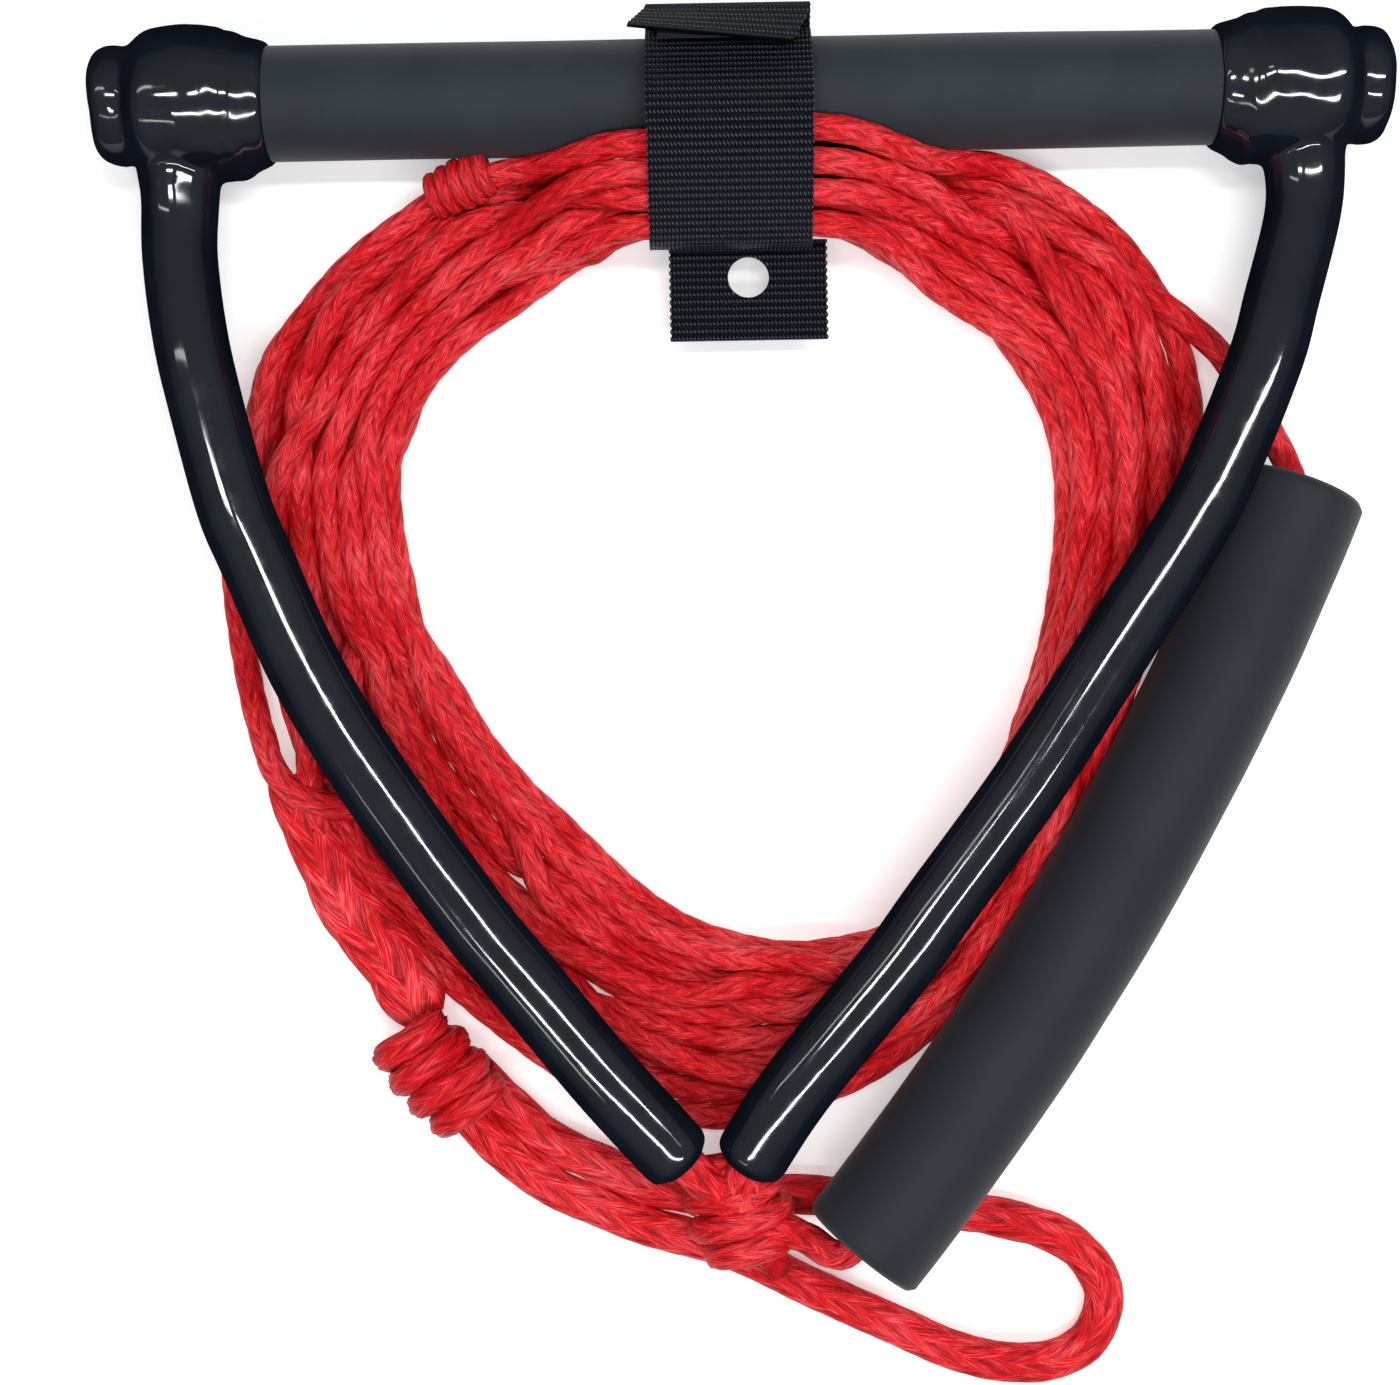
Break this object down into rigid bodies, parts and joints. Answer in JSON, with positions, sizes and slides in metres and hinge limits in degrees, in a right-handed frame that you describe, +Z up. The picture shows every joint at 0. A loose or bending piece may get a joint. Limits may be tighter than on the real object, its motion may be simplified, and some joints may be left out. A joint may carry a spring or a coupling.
{
  "type": "tow rope handle",
  "caption": "Foam-gripped tow bar with two vinyl-coated bridle arms, a float and the coiled tow line, held together by a keeper strap.",
  "frame": {"origin": "middle of the handle bar, on its axis", "axes": "+X along the bar, +Y away from the bridle, +Z up from the surface that the handle lies on"},
  "size_m": [0.328, 0.3508, 0.042],
  "materials": {
    "tube": "drawn tube",
    "foam": "matte closed-cell foam",
    "plug": "moulded",
    "vinyl": "glossy vinyl dip",
    "rope": "braided red rope",
    "webbing": "woven loop webbing",
    "hook_tape": "moulded hook tape"
  },
  "bodies": {
    "handle": {"core_tube": "tube", "grip_sleeve": "foam", "left_end_plug": "plug", "right_end_plug": "plug", "left_rope_eye": "rope", "right_rope_eye": "rope", "left_collar": "vinyl", "right_collar": "vinyl", "left_bridle_rope": "rope", "right_bridle_rope": "rope", "left_arm_coat": "vinyl", "right_arm_coat": "vinyl", "bridle_knot": "rope", "line_float_run": "rope", "line_mouth_run": "rope", "line_coil": "rope", "line_whipping": "rope", "line_eye_run": "rope", "end_splice": "rope", "end_knot": "rope", "end_loop": "rope", "strap_band": "webbing"},
    "float": {"float_tube": "foam"},
    "tail": {"strap_tail": "webbing"},
    "tab": {"strap_tab": "webbing", "strap_hook_patch": "hook_tape"}
  },
  "joints": [
    {"name": "float_slide", "type": "slide", "parent": "handle", "child": "float", "axis": [0.521, 0.8536, 0], "range_m": [0, 0.012], "deforming": ["line_mouth_run"]},
    {"name": "tail_lift", "type": "hinge", "parent": "handle", "child": "tail", "pos_m": [0.0013, -0.0383, -0.009], "axis": [-1, 0, 0], "range_deg": [0, 75]},
    {"name": "tab_peel", "type": "hinge", "parent": "handle", "child": "tab", "pos_m": [-0.0032, 0.019, 0.0124], "axis": [-1, 0, 0], "range_deg": [0, 130]}
  ]
}
